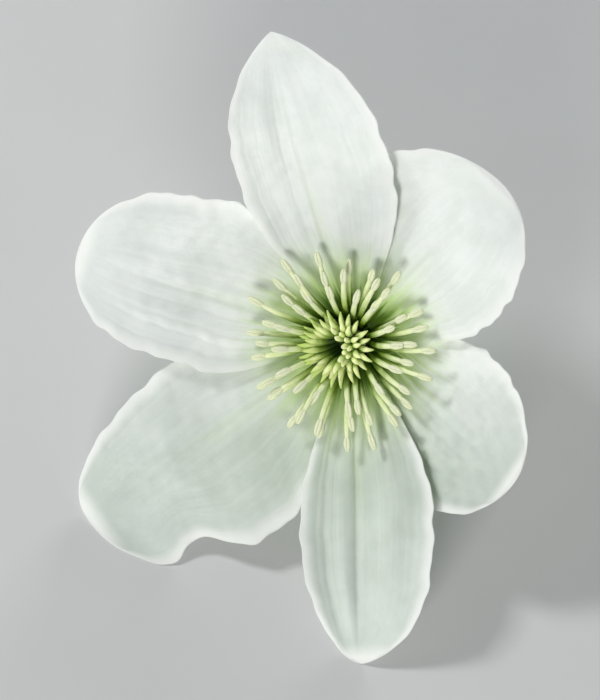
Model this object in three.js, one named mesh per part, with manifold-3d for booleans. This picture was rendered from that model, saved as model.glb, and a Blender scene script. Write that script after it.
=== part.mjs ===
// One open clematis flower, as picked: six white tepals, a ring of stamens round the green carpels, and
// the cut stalk with the receptacle that they all grow from. It lies face up, propped on the tips of two
// tepals and on its stalk. Millimetres, +Z up, with the middle of its footprint at the origin.

import * as THREE from 'three';
import { mergeVertices } from 'three/addons/utils/BufferGeometryUtils.js';
import Module from 'manifold-3d';

const wasm = await Module();
wasm.setup();

const { degToRad, lerp, smoothstep } = THREE.MathUtils;

// How the head lies. Its face leans by LEAN degrees towards LEAN_TOWARDS, an angle in the flower's own
// plane, and HEAD is where the middle of that plane stands above the surface.
const LEAN = 40;
const LEAN_TOWARDS = 249;
const HEAD = new THREE.Vector3(6.2, -1.1, 14.2);

// The cup that all six tepals follow: how high it would rise in the end, and how far out it flattens
const CUP_HEIGHT = 13;
const CUP_REACH = 20;

// Tepals
const TEPAL_BASE_RADIUS = 2.9;
const TEPAL_BASE_HALF_WIDTH = 1.15;
const TEPAL_THICKNESS = 0.7;
const TEPAL_ROWS = 18;
const TEPAL_COLUMNS = 10;
// The last row stops just short of the tip, where the width is gone
const TEPAL_LAST_ROW = 0.996;
// Neighbours pass over and under each other: half the height between them, the distances from the middle
// where that begins and is full, the share of the width that changes sides, and the share of the length
// past which it fades
const OVERLAP_STEP = 0.56;
const OVERLAP_STARTS = 2.9;
const OVERLAP_FULL = 4.1;
const OVERLAP_MIDDLE = 0.55;
const OVERLAP_ENDS = 0.7;
// The outer part of a tepal is clear of its neighbours and may curl and wave
const FREE_STARTS = 0.5;
const FREE_FULL = 0.85;
const CURL_STARTS = 0.6;
const WAVE_TURNS = 9;

// Receptacle and stalk
const RECEPTACLE_RADIUS = 2.6;
const RECEPTACLE_TOP = 0.3;
const STALK_RADIUS = 0.75;
const STALK_SIDES = 8;
const STALK_STEPS = 36;
const NECK_DEPTH = 4.2;
// The stalk is sunk this far into the neck of the receptacle
const STALK_SINK = 1.5;
// Where the stalk comes down on the surface and where it is cut, seen from the middle of the head, and
// which way it runs there, in degrees anticlockwise from +X
const STALK_TOUCH = { x: 3.5, y: 17, heading: 80 };
const STALK_END = { x: -10, y: 38, heading: 146 };
// How strongly it keeps its direction on leaving the head, on coming down, on lying on and at its end
const STALK_HOLDS = { leave: 8, comeDown: 7, lieOn: 8, end: 9 };
const CLEARANCE = 0.3;

// A pair of small bracts at a swollen node of the stalk. They point back towards the flower.
const NODE_AT = 0.66;
const NODE_SWELL = 0.35;
const NODE_REACH = 0.03;
const BRACT_LENGTH = 4.6;
const BRACT_HALF_WIDTH = 0.9;
const BRACT_THICKNESS = 0.6;
const BRACT_SPREAD = 26;
const BRACT_RISE = 0.9;

// Stamens and carpels
const COLLAR_INNER_RADIUS = 1.9;
const COLLAR_TOP = 1.7;
const FILAMENT_HALF_WIDTH = 0.38;
const STAMEN_JITTER = 0.3;
const STAMEN_SWAY = 1.2;
const ANTHER_LENGTH = 1.9;
const ANTHER_RADIUS = 0.5;
const CARPEL_CORE_RADIUS = 1.6;
const CARPEL_CORE_TOP = 2.6;
const STYLE_RADIUS = 0.46;
const STYLE_JITTER = 0.2;

// azimuth: direction from the middle, degrees anticlockwise. length: middle of the flower to tip. left and
// right: half widths, seen from above with the tip pointing away. widest: where, as a share of the length.
// flare: how late it widens from its claw. tipLeft, tipRight and blunt: how square each side of the tip is.
// bend: sideways drift of the tip. over: 1 where that side lies over its neighbour, -1 where it lies under.
// curl: how far the tip turns down. channel: how far the edges turn up. wave and phase: height and place
// of the waves along the edge. nick: where a piece is missing from the left edge, how long and how deep.
const TEPALS = [
  {
    azimuth: 99.3, length: 39.3, left: 7.8, right: 11.4, widest: 0.52, flare: 0.95,
    tipLeft: 2.6, tipRight: 2.6, blunt: 0.88, bend: 1.6, over: { left: 1, right: 1 },
    curl: 2.0, channel: 1.0, wave: 0.45, phase: 0.4,
  },
  {
    azimuth: 47.3, length: 29.5, left: 12.0, right: 10.8, widest: 0.54, flare: 0.85,
    tipLeft: 2.4, tipRight: 2.2, blunt: 0.5, bend: 0, over: { left: -1, right: 1 },
    curl: 1.6, channel: 0.5, wave: 0.6, phase: 2.1,
  },
  {
    azimuth: -33, length: 26.3, left: 10.5, right: 9.6, widest: 0.55, flare: 0.9,
    tipLeft: 1.8, tipRight: 2.4, blunt: 0.5, bend: 0, over: { left: -1, right: -1 },
    curl: 0.8, channel: 1.3, wave: 0.6, phase: 4.4,
  },
  {
    azimuth: -82.5, length: 37.8, left: 10.2, right: 6.5, widest: 0.5, flare: 1.0,
    tipLeft: 2.9, tipRight: 1.9, blunt: 0.62, bend: -1.5, over: { left: 1, right: 1 },
    curl: 0.5, channel: 1.5, wave: 0.35, phase: 1.2,
  },
  {
    azimuth: 216, length: 38.4, left: 13.9, right: 9.9, widest: 0.46, flare: 1.0,
    tipLeft: 2.1, tipRight: 1.5, blunt: 0.45, bend: 0, over: { left: -1, right: -1 },
    curl: 1.6, channel: 0.2, wave: 0.7, phase: 3.0, nick: { at: 0.7, reach: 0.09, depth: 3.4 },
  },
  {
    azimuth: 162, length: 33.8, left: 8.7, right: 12.4, widest: 0.4, flare: 1.05,
    tipLeft: 3.6, tipRight: 2.5, blunt: 0.5, bend: 0, over: { left: 1, right: -1 },
    curl: 1.4, channel: 0.3, wave: 0.5, phase: 5.2,
  },
];

// Three rows of stamens, from the outside in. root: how far out and up they grow from the collar.
// reach and rise: how far out and up their tips end.
const STAMEN_ROWS = [
  { count: 17, root: { radius: 2.42, height: 0.95 }, reach: 11.2, rise: 6.9, start: 0.0 },
  { count: 15, root: { radius: 2.25, height: 1.2 }, reach: 9.3, rise: 7.3, start: 0.5 },
  { count: 12, root: { radius: 2.1, height: 1.45 }, reach: 7.3, rise: 7.0, start: 0.2 },
];

// Two rows of styles that lean out round a hollow
const STYLE_ROWS = [
  { count: 14, root: { radius: 1.25, height: 1.7 }, reach: 4.4, rise: 6.3, start: 0.0 },
  { count: 10, root: { radius: 1.1, height: 1.9 }, reach: 3.0, rise: 6.8, start: 0.5 },
];

const worldUp = new THREE.Vector3(0, 0, 1);
const leanAzimuth = degToRad(LEAN_TOWARDS);
const leanAxis = new THREE.Vector3(-Math.sin(leanAzimuth), Math.cos(leanAzimuth), 0);
const leanTurn = new THREE.Quaternion().setFromAxisAngle(leanAxis, degToRad(LEAN));
const upInHead = worldUp.clone().applyQuaternion(leanTurn.clone().invert());

// A repeatable random number from 0 to 1
function makeRandom(seed) {
  let state = seed;
  return () => {
    state = (state + 0x6d2b79f5) | 0;
    let mixed = Math.imul(state ^ (state >>> 15), 1 | state);
    mixed = (mixed + Math.imul(mixed ^ (mixed >>> 7), 61 | mixed)) ^ mixed;
    return ((mixed ^ (mixed >>> 14)) >>> 0) / 4294967296;
  };
}

function toSolid(geometry) {
  const plain = geometry.clone();
  plain.deleteAttribute('normal');
  plain.deleteAttribute('uv');
  const merged = mergeVertices(plain, 1e-5);
  const vertProperties = new Float32Array(merged.attributes.position.array);
  const triVerts = new Uint32Array(merged.index.array);
  return new wasm.Manifold(new wasm.Mesh({ numProp: 3, vertProperties, triVerts }));
}

function toGeometry(solid) {
  const mesh = solid.getMesh();
  const geometry = new THREE.BufferGeometry();
  geometry.setAttribute('position', new THREE.BufferAttribute(new Float32Array(mesh.vertProperties), 3));
  geometry.setIndex(new THREE.BufferAttribute(new Uint32Array(mesh.triVerts), 1));
  return geometry;
}

function joined(geometries) {
  return toGeometry(geometries.map(toSolid).reduce((whole, next) => whole.add(next)));
}

function indexedGeometry(points, triangles) {
  const geometry = new THREE.BufferGeometry().setFromPoints(points);
  geometry.setIndex(triangles);
  return geometry;
}

// A closed blade between two faces of rows by columns points, with both faces split the same way.
// facesAt gives the upper and the lower point for a share along and a share across.
function bladeGeometry(rows, columns, facesAt) {
  const upper = [];
  const lower = [];
  for (let row = 0; row <= rows; row++) {
    for (let column = 0; column <= columns; column++) {
      const faces = facesAt(row / rows, column / columns);
      upper.push(faces.upper);
      lower.push(faces.lower);
    }
  }
  const width = columns + 1;
  const lowerStart = upper.length;
  const triangles = [];
  for (let row = 0; row < rows; row++) {
    for (let column = 0; column < columns; column++) {
      const a = row * width + column;
      const b = a + width;
      triangles.push(a, b, a + 1, a + 1, b, b + 1);
      const c = a + lowerStart;
      const d = b + lowerStart;
      triangles.push(c, c + 1, d, c + 1, d + 1, d);
    }
  }
  const rim = [];
  for (let column = 0; column < columns; column++) {
    rim.push(column);
  }
  for (let row = 0; row < rows; row++) {
    rim.push(row * width + columns);
  }
  for (let column = columns; column > 0; column--) {
    rim.push(rows * width + column);
  }
  for (let row = rows; row > 0; row--) {
    rim.push(row * width);
  }
  rim.forEach((from, index) => {
    const to = rim[(index + 1) % rim.length];
    triangles.push(from, to, from + lowerStart, to, to + lowerStart, from + lowerStart);
  });
  return indexedGeometry([...upper, ...lower], triangles);
}

// A closed tube along a curve. radiusAt gives its radius for a share of the way, and sideAt the direction
// across it for a tangent.
function stemGeometry(curve, steps, sides, radiusAt, sideAt) {
  const points = [];
  const triangles = [];
  for (let step = 0; step <= steps; step++) {
    const share = step / steps;
    const middle = curve.getPointAt(share);
    const tangent = curve.getTangentAt(share);
    const side = sideAt(tangent).normalize();
    const above = new THREE.Vector3().crossVectors(side, tangent).normalize();
    const across = new THREE.Vector3().crossVectors(tangent, above);
    for (let corner = 0; corner < sides; corner++) {
      const turn = (2 * Math.PI * (corner + 0.5)) / sides;
      points.push(
        middle
          .clone()
          .addScaledVector(across, radiusAt(share) * Math.sin(turn))
          .addScaledVector(above, -radiusAt(share) * Math.cos(turn)),
      );
    }
  }
  for (let step = 0; step < steps; step++) {
    for (let corner = 0; corner < sides; corner++) {
      const next = (corner + 1) % sides;
      const a = step * sides + corner;
      const b = step * sides + next;
      triangles.push(a, a + sides, b, b, a + sides, b + sides);
    }
  }
  const last = steps * sides;
  for (let corner = 1; corner < sides - 1; corner++) {
    triangles.push(0, corner, corner + 1);
    triangles.push(last, last + corner + 1, last + corner);
  }
  return indexedGeometry(points, triangles);
}

// A turned solid about the head's axis, from a profile of [radius, height] pairs that begins and ends on it
function turnedGeometry(profile, segments) {
  const points = profile.map(([radius, height]) => new THREE.Vector2(radius, height));
  return new THREE.LatheGeometry(points, segments).rotateX(Math.PI / 2);
}

function cupAt(radius) {
  return CUP_HEIGHT * (1 - Math.exp((TEPAL_BASE_RADIUS - radius) / CUP_REACH));
}

function cupSlopeAt(radius) {
  return (CUP_HEIGHT / CUP_REACH) * Math.exp((TEPAL_BASE_RADIUS - radius) / CUP_REACH);
}

// Half the width of a tepal at a share of its length: a narrow claw, a broad blade and its own tip
function halfWidth(tepal, along, isLeft) {
  const full = isLeft ? tepal.left : tepal.right;
  if (along < tepal.widest) {
    const rise = Math.sin((Math.PI / 2) * (along / tepal.widest) ** tepal.flare);
    return lerp(TEPAL_BASE_HALF_WIDTH, full, rise);
  }
  const towardsTip = (along - tepal.widest) / (1 - tepal.widest);
  const squareness = isLeft ? tepal.tipLeft : tepal.tipRight;
  return full * (1 - towardsTip ** squareness) ** tepal.blunt;
}

// The piece that is missing from one edge, where the tepal has such a nick
function nickDepth(tepal, along, isLeft) {
  if (!tepal.nick || !isLeft) {
    return 0;
  }
  return tepal.nick.depth * Math.exp(-(((along - tepal.nick.at) / tepal.nick.reach) ** 2));
}

// Where a point of a tepal's inner face lies in the head, for a share along and a share across, -1 to 1
function innerFace(tepal, along, across) {
  const isLeft = across > 0;
  const half = halfWidth(tepal, along, isLeft);
  const sideways = across * (half - Math.min(nickDepth(tepal, along, isLeft), half / 2));
  const drift = tepal.bend * along ** 2;
  const outward = lerp(TEPAL_BASE_RADIUS, tepal.length, along);
  const azimuth = degToRad(tepal.azimuth);
  const x = outward * Math.cos(azimuth) - (sideways + drift) * Math.sin(azimuth);
  const y = outward * Math.sin(azimuth) + (sideways + drift) * Math.cos(azimuth);
  const radius = Math.hypot(x, y);
  const layer = lerp(
    tepal.over.right,
    tepal.over.left,
    smoothstep(across, -OVERLAP_MIDDLE, OVERLAP_MIDDLE),
  );
  const apart = smoothstep(radius, OVERLAP_STARTS, OVERLAP_FULL) * (1 - smoothstep(along, OVERLAP_ENDS, 1));
  const step = OVERLAP_STEP * apart * layer;
  const free = smoothstep(along, FREE_STARTS, FREE_FULL);
  const isOver = (isLeft ? tepal.over.left : tepal.over.right) > 0;
  const edgeward = sideways / (isLeft ? tepal.left : tepal.right);
  const channel = tepal.channel * edgeward ** 2 * (isOver ? Math.max(free, along) : free);
  const ripple = Math.sin(WAVE_TURNS * along * Math.sign(across) + tepal.phase);
  const wave = tepal.wave * free * Math.abs(edgeward) ** 3 * ripple;
  const curl = tepal.curl * (Math.max(0, along - CURL_STARTS) / (1 - CURL_STARTS)) ** 2;
  return new THREE.Vector3(x, y, cupAt(radius) + step + channel + wave - curl);
}

// Lifts the part of a tepal that would go below the surface, so that its underside lies flat on it
function settle(upper, lower) {
  const height = lower.dot(upInHead) + HEAD.z;
  const lift = Math.max(0, -height);
  upper.addScaledVector(upInHead, lift);
  lower.addScaledVector(upInHead, lift);
}

// Rows crowd together at the claw and at the tip, where a tepal changes most
function tepalGeometry(tepal) {
  return bladeGeometry(TEPAL_ROWS, TEPAL_COLUMNS, (rowShare, columnShare) => {
    const along = (TEPAL_LAST_ROW * (1 - Math.cos(Math.PI * rowShare))) / 2;
    const across = 2 * columnShare - 1;
    const upper = innerFace(tepal, along, across);
    const lower = upper.clone();
    lower.z -= TEPAL_THICKNESS * Math.hypot(1, cupSlopeAt(Math.hypot(upper.x, upper.y)));
    settle(upper, lower);
    return { upper, lower };
  });
}

// A point in the head at a distance from its axis and a height along it
function headPoint(azimuth, radius, height) {
  return new THREE.Vector3(radius * Math.cos(azimuth), radius * Math.sin(azimuth), height);
}

function stamenGeometries(azimuth, root, reach, rise, sway) {
  const across = new THREE.Vector3(-Math.sin(azimuth), Math.cos(azimuth), 0);
  const tip = headPoint(azimuth, reach, rise).addScaledVector(across, sway);
  const filament = new THREE.CubicBezierCurve3(
    headPoint(azimuth, root.radius, root.height),
    headPoint(azimuth, root.radius + 0.16 * reach, 0.6 * rise),
    headPoint(azimuth, 0.62 * reach, 0.9 * rise).addScaledVector(across, 0.4 * sway),
    tip,
  );
  const outward = filament.getTangentAt(1);
  const anther = new THREE.LineCurve3(
    tip.clone().addScaledVector(outward, -0.5 * ANTHER_LENGTH),
    tip.clone().addScaledVector(outward, 0.5 * ANTHER_LENGTH),
  );
  const sideAt = () => across.clone();
  return [
    stemGeometry(filament, 4, 3, (share) => lerp(1, 0.7, share) * FILAMENT_HALF_WIDTH, sideAt),
    stemGeometry(anther, 2, 4, (share) => lerp(0.45, 1, Math.sin(Math.PI * share)) * ANTHER_RADIUS, sideAt),
  ];
}

function stamensGeometry() {
  const random = makeRandom(11);
  const collarBottom = RECEPTACLE_TOP + CLEARANCE;
  const collar = turnedGeometry(
    [
      [COLLAR_INNER_RADIUS, collarBottom],
      [RECEPTACLE_RADIUS, collarBottom],
      [RECEPTACLE_RADIUS, COLLAR_TOP],
      [COLLAR_INNER_RADIUS, COLLAR_TOP],
      [COLLAR_INNER_RADIUS, collarBottom],
    ],
    24,
  );
  const pieces = [collar];
  for (const row of STAMEN_ROWS) {
    for (let index = 0; index < row.count; index++) {
      const place = index + row.start + STAMEN_JITTER * (random() - 0.5);
      const azimuth = (2 * Math.PI * place) / row.count;
      const size = lerp(0.92, 1.06, random());
      const sway = STAMEN_SWAY * (random() - 0.5);
      pieces.push(...stamenGeometries(azimuth, row.root, row.reach * size, row.rise * size, sway));
    }
  }
  return joined(pieces);
}

function styleGeometry(azimuth, root, reach, rise) {
  const across = new THREE.Vector3(-Math.sin(azimuth), Math.cos(azimuth), 0);
  const style = new THREE.CubicBezierCurve3(
    headPoint(azimuth, root.radius, root.height),
    headPoint(azimuth, root.radius + 0.1, 0.62 * rise),
    headPoint(azimuth, lerp(root.radius, reach, 0.35), 1.04 * rise),
    headPoint(azimuth, reach, rise),
  );
  return stemGeometry(style, 4, 4, (share) => lerp(0.9, 1, share) * STYLE_RADIUS, () => across.clone());
}

function carpelsGeometry() {
  const random = makeRandom(5);
  const coreBottom = RECEPTACLE_TOP + CLEARANCE;
  const core = turnedGeometry(
    [
      [0, coreBottom],
      [0.85 * CARPEL_CORE_RADIUS, coreBottom],
      [CARPEL_CORE_RADIUS, coreBottom + 0.6],
      [CARPEL_CORE_RADIUS, CARPEL_CORE_TOP - 0.4],
      [0.8 * CARPEL_CORE_RADIUS, CARPEL_CORE_TOP],
      [0, CARPEL_CORE_TOP - 0.3],
    ],
    16,
  );
  const pieces = [core];
  for (const row of STYLE_ROWS) {
    for (let index = 0; index < row.count; index++) {
      const place = index + row.start + STYLE_JITTER * (random() - 0.5);
      const azimuth = (2 * Math.PI * place) / row.count;
      const size = lerp(0.94, 1.04, random());
      pieces.push(styleGeometry(azimuth, row.root, row.reach * size, row.rise * size));
    }
  }
  return joined(pieces);
}

function receptacleGeometry() {
  return turnedGeometry(
    [
      [0, -NECK_DEPTH],
      [1.02 * STALK_RADIUS, -NECK_DEPTH],
      [1.3, -2.9],
      [2.15, -1.8],
      [RECEPTACLE_RADIUS, -1.1],
      [RECEPTACLE_RADIUS, RECEPTACLE_TOP],
      [0, RECEPTACLE_TOP],
    ],
    20,
  );
}

// The middle line of the lying stalk at a named place: its point and its direction
function lyingPlace(place) {
  const height = STALK_RADIUS * Math.cos(Math.PI / STALK_SIDES);
  const turn = degToRad(place.heading);
  return {
    point: new THREE.Vector3(HEAD.x + place.x, HEAD.y + place.y, height),
    heading: new THREE.Vector3(Math.cos(turn), Math.sin(turn), 0),
  };
}

// The stalk leaves the receptacle along its axis, comes down in a bow and lies on in a curve to its cut end
function stalkPath(headMatrix) {
  const leave = new THREE.Vector3(0, 0, STALK_SINK - NECK_DEPTH).applyMatrix4(headMatrix);
  const down = new THREE.Vector3(0, 0, -1).transformDirection(headMatrix);
  const touch = lyingPlace(STALK_TOUCH);
  const end = lyingPlace(STALK_END);
  const path = new THREE.CurvePath();
  path.add(
    new THREE.CubicBezierCurve3(
      leave,
      leave.clone().addScaledVector(down, STALK_HOLDS.leave),
      touch.point.clone().addScaledVector(touch.heading, -STALK_HOLDS.comeDown),
      touch.point,
    ),
  );
  path.add(
    new THREE.CubicBezierCurve3(
      touch.point,
      touch.point.clone().addScaledVector(touch.heading, STALK_HOLDS.lieOn),
      end.point.clone().addScaledVector(end.heading, -STALK_HOLDS.end),
      end.point,
    ),
  );
  return path;
}

function stalkRadius(share) {
  return STALK_RADIUS + NODE_SWELL * Math.exp(-(((share - NODE_AT) / NODE_REACH) ** 2));
}

// One bract, on the left or the right of the stalk: hand is 1 or -1
function bractGeometry(path, hand) {
  const root = path.getPointAt(NODE_AT);
  const back = path.getTangentAt(NODE_AT).negate();
  const turn = new THREE.Quaternion().setFromAxisAngle(worldUp, hand * degToRad(BRACT_SPREAD));
  const outward = back.applyQuaternion(turn);
  const across = new THREE.Vector3().crossVectors(worldUp, outward);
  return bladeGeometry(6, 4, (rowShare, columnShare) => {
    const along = 0.97 * rowShare;
    const half = BRACT_HALF_WIDTH * Math.sin(Math.PI * lerp(0.25, 1, along));
    const lower = root
      .clone()
      .addScaledVector(outward, BRACT_LENGTH * along)
      .addScaledVector(across, half * (2 * columnShare - 1));
    lower.z += BRACT_RISE * along - BRACT_THICKNESS / 2;
    const upper = lower.clone().addScaledVector(worldUp, BRACT_THICKNESS);
    return { upper, lower };
  });
}

function flowerStalkGeometry(headMatrix) {
  const path = stalkPath(headMatrix);
  const sideAt = (tangent) => new THREE.Vector3().crossVectors(tangent, worldUp);
  const stalk = stemGeometry(path, STALK_STEPS, STALK_SIDES, stalkRadius, sideAt);
  const points = stalk.attributes.position;
  for (let index = 0; index < points.count; index++) {
    points.setZ(index, Math.max(0, points.getZ(index)));
  }
  const receptacle = receptacleGeometry().applyMatrix4(headMatrix);
  return joined([receptacle, stalk, bractGeometry(path, 1), bractGeometry(path, -1)]);
}

function mesh(name, geometry, color, roughness) {
  const made = new THREE.Mesh(geometry, new THREE.MeshStandardMaterial({ color, roughness, metalness: 0 }));
  made.name = name;
  return made;
}

const flower = new THREE.Group();
const head = new THREE.Group();
head.position.copy(HEAD);
head.quaternion.copy(leanTurn);
head.updateMatrix();
TEPALS.forEach((tepal, index) => {
  head.add(mesh(`tepal_${index + 1}`, tepalGeometry(tepal), 0xf4f6f3, 0.6));
});
head.add(mesh('stamens', stamensGeometry(), 0xcfe08a, 0.6));
head.add(mesh('carpels', carpelsGeometry(), 0xb6d25a, 0.55));
flower.add(head);
flower.add(mesh('flower_stalk', flowerStalkGeometry(head.matrix), 0x5d7a34, 0.6));

export default flower;
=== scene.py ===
import math
import random
from dataclasses import dataclass

import bpy
import numpy as np
from mathutils import Matrix, Vector


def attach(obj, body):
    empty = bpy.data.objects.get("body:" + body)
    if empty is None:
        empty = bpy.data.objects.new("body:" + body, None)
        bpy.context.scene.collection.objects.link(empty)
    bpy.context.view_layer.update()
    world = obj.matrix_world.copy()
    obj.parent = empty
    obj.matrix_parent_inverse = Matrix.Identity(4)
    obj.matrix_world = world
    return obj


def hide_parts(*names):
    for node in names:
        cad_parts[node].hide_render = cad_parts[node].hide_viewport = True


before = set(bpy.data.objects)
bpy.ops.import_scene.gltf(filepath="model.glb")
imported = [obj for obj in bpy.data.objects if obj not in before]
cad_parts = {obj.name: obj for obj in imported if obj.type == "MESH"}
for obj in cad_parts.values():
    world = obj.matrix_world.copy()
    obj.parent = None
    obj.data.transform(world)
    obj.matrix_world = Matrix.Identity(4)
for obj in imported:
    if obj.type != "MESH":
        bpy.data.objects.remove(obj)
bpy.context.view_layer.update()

MM = 0.001

# The flower's face leans by LEAN degrees towards LEAN_TOWARDS, an angle in the flower's own plane. HEAD is
# where the middle of that plane stands.
LEAN = 40
LEAN_TOWARDS = 249
HEAD = np.array([6.2, -1.1, 14.2])

# Directions in the head: to the right and the top of the picture, and out of the flower's face
RIGHT = np.array([1.0, 0.0, 0.0])
TOP = np.array([0.0, 1.0, 0.0])
FACE = np.array([0.0, 0.0, 1.0])
WORLD_UP = np.array([0.0, 0.0, 1.0])

# The cup that all tepals follow: how high it would rise in the end, and how far out it flattens
CUP_HEIGHT = 13
CUP_REACH = 20

TEPAL_BASE_RADIUS = 2.9
TEPAL_BASE_HALF_WIDTH = 1.15
TEPAL_THICKNESS = 0.7
# Neighbours part between two distances from the middle and meet again towards the tip
OVERLAP_STEP = 0.5
OVERLAP_PARTS = (2.9, 4.1)
OVERLAP_MIDDLE = 0.55
OVERLAP_ENDS = 0.7
# The outer part of a tepal is clear of its neighbours and may curl and wave
FREE_FROM = (0.5, 0.85)
CURL_STARTS = 0.6
WAVE_TURNS = 9

# The blade is thin, thinner still at its edge, and lifts where its edge lies over a neighbour
BLADE_ROWS = 160
BLADE_COLUMNS = 120
BLADE_LAST_ROW = 0.9997
BLADE_THICKNESS = 0.34
EDGE_SHARE = 0.35
TIP_EDGE_STARTS = 0.93
OVER_EDGE_LIFT = 0.4
# The claw is thicker and reaches in to the receptacle. It is filled out over these distances from the
# middle, and wraps round the receptacle until these.
CLAW_REACH = 0.45
CLAW_THICKNESS = 0.42
CLAW_SHARE = 0.22
CLAW_FILLED = (1.9, 2.6, 5.5, 10)
CLAW_UNWRAPS = (2.4, 5.0)

# Relief of the blade, with places and widths as shares of the half width. A wave along an edge has a rate,
# a shift between its two sides and a size.
FOLD_DRIFT = 0.10
VEINS = 9
VEIN_SPREAD = 1.7
VEIN_WIDTH = 0.035
VEIN_WAVER = 0.018
VEIN_DEPTHS = (0.02, 0.06)
MIDRIB_WIDTH = 0.05
MIDRIB_DEPTH = 0.16
CRIMP_WAVES = ((34, 5, 0.13), (59, -3, 0.078))
RAGGED_WAVES = ((41, 2, 0.012), (73, -1, 0.008))
EDGE_UPTURN = 0.22
SWELL_HEIGHT = 0.22

RECEPTACLE_RADIUS = 2.6
RECEPTACLE_TOP = 0.3
NECK_DEPTH = 4.2
STALK_RADIUS = 0.75
# How deep the stalk is sunk in the neck of the receptacle
STALK_SINK = 1.5
# Where the stalk touches down and where it is cut, seen from the middle of the head, with its direction
# there in degrees, and how strongly it holds its direction at the ends of its two bends
STALK_TOUCH = (3.5, 17, 80)
STALK_END = (-10, 38, 146)
STALK_HOLDS = (8, 7, 8, 9)
STALK_STEPS = 220
STALK_SIDES = 30
STALK_RIBS = 6
RIB_DEPTH = 0.045
# The cut face: how wide and how far out its rings stand
CUT_RINGS = ((0.9, 0.02), (0.62, -0.06), (0.3, -0.02))
STALK_HAIRS = 1500
STALK_HAIR_LENGTHS = (0.25, 0.6)
STALK_HAIR_RADIUS = 0.018

# A pair of small bracts at a swollen node of the stalk, pointing back towards the flower
NODE_AT = 0.66
NODE_SWELL = 0.35
NODE_REACH = 0.03
BRACT_LENGTH = 4.6
BRACT_HALF_WIDTH = 0.9
BRACT_THICKNESS = 0.45
BRACT_SPREAD = 26
BRACT_RISE = 0.9
BRACT_ROWS = 36
BRACT_COLUMNS = 20

COLLAR_INNER_RADIUS = 1.9
COLLAR_BOTTOM = 0.6
COLLAR_TOP = 1.7
COLLAR_ROUNDING = 0.2
CORE_RADIUS = 1.6
CORE_TOP = 2.6
FILAMENT_WIDTH = 0.36
FILAMENT_THICKNESS = 0.2
STAMEN_JITTER = 0.34
STAMEN_SIZES = (0.9, 1.05)
STAMEN_SWAY = 1.7
STAMEN_DROOP = 0.7
ANTHER_LENGTH = 2.1
ANTHER_SIZES = (0.85, 1.1)
ANTHER_WIDTH = 0.46
STYLE_RADIUS = 0.34
STYLE_JITTER = 0.25
STYLE_SIZES = (0.93, 1.04)
STYLE_SWAY = 0.5
STYLE_HAIRS = 26
STYLE_HAIR_LENGTHS = (0.4, 0.75)
STYLE_HAIR_RADIUS = 0.02
# The head of styles is open on the left: a row that ends within OPEN_ROW_REACH has styles only where the
# cosine of their direction is OPEN_ROW_FROM or more
OPEN_ROW_REACH = 2.5
OPEN_ROW_FROM = 0.1

# The camera looks at the flower's face from this direction in the head. FILL is the share of the picture
# that the flower takes.
IMAGE_WIDTH = 600
IMAGE_HEIGHT = 700
VIEW_FROM = np.array([0.27, 0.23, 0.935])
CAMERA_DISTANCE = 0.95
FILL = 0.9
SENSOR = 36.0

LEFT_SIDE = 1
RIGHT_SIDE = -1


@dataclass
class Dent:
    """A dent in one edge of a tepal, or a bulge below 0. at and reach are shares of the length."""

    side: int
    at: float
    reach: float
    depth: float


@dataclass
class Tepal:
    """One tepal, with left and right seen from above and its tip pointing away.

    azimuth is its direction in degrees, and length its reach from the middle. left and right are its half
    widths, widest is where it has them, and flare how late it widens. Pairs name the left side first: tips
    and blunt shape the tip, over is 1 where a side lies over its neighbour and -1 where it lies under, and
    claw_fill is what the claw gains. The tip drifts to the left by bend, and curl turns it down. channel
    turns the edges up, and wave and phase are the height and place of the waves along them. folds and
    fold_depth describe its soft folds, crumple how uneven it is, and landing how softly it meets the
    surface.
    """

    azimuth: float
    length: float
    left: float
    right: float
    widest: float
    flare: float
    tips: tuple
    over: tuple
    curl: float
    channel: float
    wave: float
    phase: float
    blunt: float = 0.5
    bend: float = 0
    claw_fill: tuple = (0.6, 0.3)
    dents: tuple = ()
    folds: float = 3.5
    fold_depth: float = 0.10
    crumple: float = 0.03
    landing: float = 0


TEPALS = [
    Tepal(
        99.3, 39.3, left=7.8, right=11.4, widest=0.52, flare=0.95,
        tips=(2.6, 2.6), blunt=0.88, bend=1.6, over=(1, 1),
        curl=2.0, channel=1.0, wave=0.45, phase=0.4,
    ),
    Tepal(
        47.3, 29.5, left=12.0, right=10.8, widest=0.54, flare=0.85,
        tips=(2.4, 2.2), over=(-1, 1),
        curl=1.6, channel=0.5, wave=0.6, phase=2.1, claw_fill=(0.3, 1.9),
        dents=(Dent(LEFT_SIDE, 0.72, 0.14, -0.8),),
    ),
    Tepal(
        -33, 26.3, left=10.5, right=9.6, widest=0.55, flare=0.9,
        tips=(1.8, 2.4), over=(-1, -1),
        curl=0.8, channel=1.3, wave=0.6, phase=4.4, claw_fill=(2.0, 0.1), crumple=0.15,
    ),
    Tepal(
        -82.5, 37.8, left=10.2, right=6.5, widest=0.5, flare=1.0,
        tips=(2.9, 1.9), blunt=0.62, bend=-1.5, over=(1, 1),
        curl=0.5, channel=1.5, wave=0.35, phase=1.2, claw_fill=(0.1, 0.6), folds=2.9, fold_depth=0.46,
    ),
    Tepal(
        216, 38.4, left=13.9, right=9.9, widest=0.46, flare=1.0,
        tips=(2.1, 1.5), blunt=0.45, over=(-1, -1),
        curl=1.6, channel=0.2, wave=0.7, phase=3.0,
        dents=(Dent(LEFT_SIDE, 0.7, 0.09, 3.4),), landing=0.9,
    ),
    Tepal(
        162, 33.8, left=8.7, right=12.4, widest=0.4, flare=1.05,
        tips=(3.6, 2.5), over=(1, -1),
        curl=1.4, channel=0.3, wave=0.5, phase=5.2, claw_fill=(0.3, 0.6),
        dents=(Dent(RIGHT_SIDE, 0.62, 0.07, 0.45), Dent(LEFT_SIDE, 0.5, 0.08, 0.3)),
    ),
]


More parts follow.
